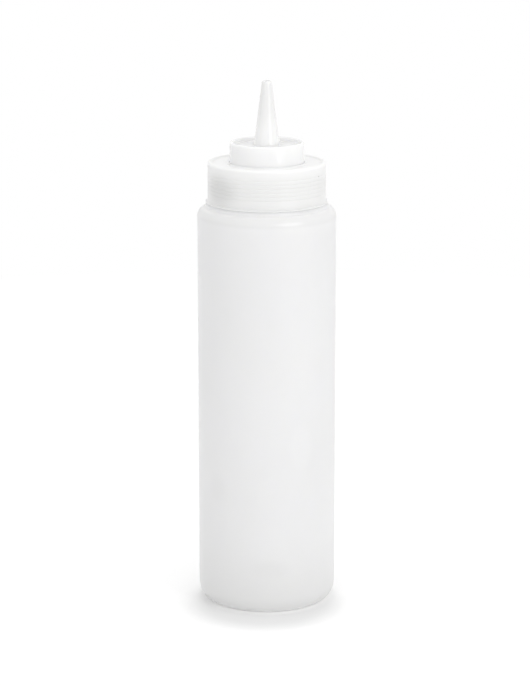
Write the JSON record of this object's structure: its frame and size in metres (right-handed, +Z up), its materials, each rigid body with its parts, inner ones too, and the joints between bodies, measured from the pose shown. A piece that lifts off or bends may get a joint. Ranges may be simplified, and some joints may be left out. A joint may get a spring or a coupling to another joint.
{
  "type": "squeeze sauce bottle",
  "caption": "Tall round milky squeeze bottle with a rounded shoulder, a screw ring with fine rings round its skirt and a collared nozzle with a long tapered spout.",
  "frame": {"origin": "middle of the base, on the surface that the bottle stands on", "axes": "+Z up along the bottle's axis, towards the tip of the spout; -Y is the side seen in the picture, and the round form looks the same from every side"},
  "size_m": [0.077, 0.077, 0.2947],
  "materials": {
    "bottle_plastic": "soft milky translucent, slightly matt",
    "nozzle_plastic": "pale translucent, satin",
    "ring_plastic": "white translucent, satin"
  },
  "bodies": {
    "bottle": {"bottle": "bottle_plastic"},
    "nozzle": {"nozzle": "nozzle_plastic"},
    "ring": {"screw_ring": "ring_plastic"}
  },
  "joints": [
    {"name": "lift", "type": "slide", "parent": "bottle", "child": "nozzle", "axis": [0, 0, 1], "range_m": [0, 0.01905]},
    {"name": "unscrew", "type": "hinge", "parent": "nozzle", "child": "ring", "pos_m": [0, 0, 0.2462], "axis": [0, 0, 1], "range_deg": [0, 1620]}
  ],
  "couplings": [
    {"joint": "lift", "follows": "unscrew", "m_per_rad": 0.00067323}
  ]
}
